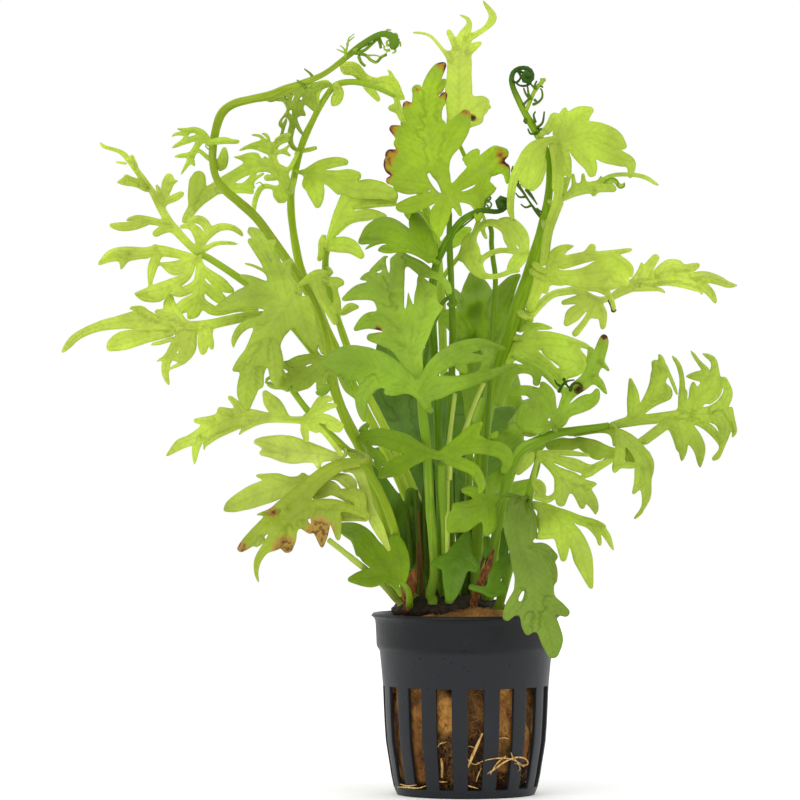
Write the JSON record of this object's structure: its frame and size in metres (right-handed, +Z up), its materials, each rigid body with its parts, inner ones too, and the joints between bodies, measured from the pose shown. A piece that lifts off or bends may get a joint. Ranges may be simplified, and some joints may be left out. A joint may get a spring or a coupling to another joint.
{
  "type": "water sprite in a net pot",
  "caption": "Water sprite, an aquarium fern, with lobed leaves on thin stalks and coiled young tips, rooted in mineral wool in a slotted black net pot.",
  "frame": {"origin": "centre of the pot's flat base, on the surface it stands on", "axes": "+Z up out of the pot, -Y towards the picture's camera, +X to the picture's right"},
  "size_m": [0.1879, 0.1463, 0.2248],
  "materials": {
    "pot": "dark grey moulded plastic, satin",
    "wool": "golden brown fibrous mineral wool",
    "rhizome": "dark, rough, damp",
    "dead_stub": "orange brown, dead",
    "stalk": "fresh green stalk, slightly glossy",
    "young_stalk": "dark green young stalk, slightly glossy",
    "bright_leaf": "lime green leaf, soft sheen",
    "pale_leaf": "pale yellow green leaf, soft sheen",
    "leaf": "mid green leaf, soft sheen",
    "dark_leaf": "dark green leaf, soft sheen"
  },
  "bodies": {
    "root": {"net_pot": "pot", "mineral_wool": "wool", "rhizome": "rhizome", "dead_stub_left": "dead_stub", "dead_stub_right": "dead_stub", "arching_stalk": "stalk", "forked_stalk": "stalk", "broad_leaf_stalk": "stalk", "left_stalk": "stalk", "lower_left_stalk": "stalk", "low_side_stalk": "stalk", "tall_crozier": "young_stalk", "dark_crozier": "young_stalk", "brown_edged_leaf_stalk": "stalk", "centre_stalk": "stalk", "second_centre_stalk": "stalk", "big_right_stalk": "stalk", "lower_right_stalk": "stalk", "wilted_leaf": "bright_leaf", "forked_stalk_leaf": "bright_leaf", "feather_leaf": "bright_leaf", "curled_leaf": "leaf", "upper_left_leaf": "bright_leaf", "left_leaf": "bright_leaf", "big_left_leaf": "bright_leaf", "hanging_leaf": "leaf", "swirl_leaf": "leaf", "lime_left_leaf": "bright_leaf", "middle_left_leaf": "pale_leaf", "pale_left_leaf": "pale_leaf", "brown_tipped_leaf": "leaf", "round_leaf": "dark_leaf", "node_leaf": "bright_leaf", "broad_leaf": "bright_leaf", "brown_edged_leaf": "leaf", "top_leaf": "bright_leaf", "arching_leaf": "dark_leaf", "centre_leaf": "leaf", "centre_side_leaf": "leaf", "looped_leaf": "leaf", "low_centre_leaf": "dark_leaf", "middle_leaf": "dark_leaf", "dark_round_leaf": "dark_leaf", "upper_right_leaf": "bright_leaf", "curled_right_leaf": "leaf", "right_upper_leaf": "bright_leaf", "far_right_leaf": "bright_leaf", "cluster_leaf": "leaf", "dark_tipped_leaf": "leaf", "big_right_leaf": "leaf", "drooping_leaf": "leaf", "fingered_leaf": "leaf", "pointed_leaf": "leaf", "pot_rim_leaf": "dark_leaf", "back_tall_leaf": "dark_leaf", "back_left_leaf": "dark_leaf", "back_centre_leaf": "dark_leaf", "back_right_leaf": "dark_leaf", "dark_upper_leaf": "dark_leaf", "back_low_leaf": "dark_leaf"}
  },
  "joints": []
}
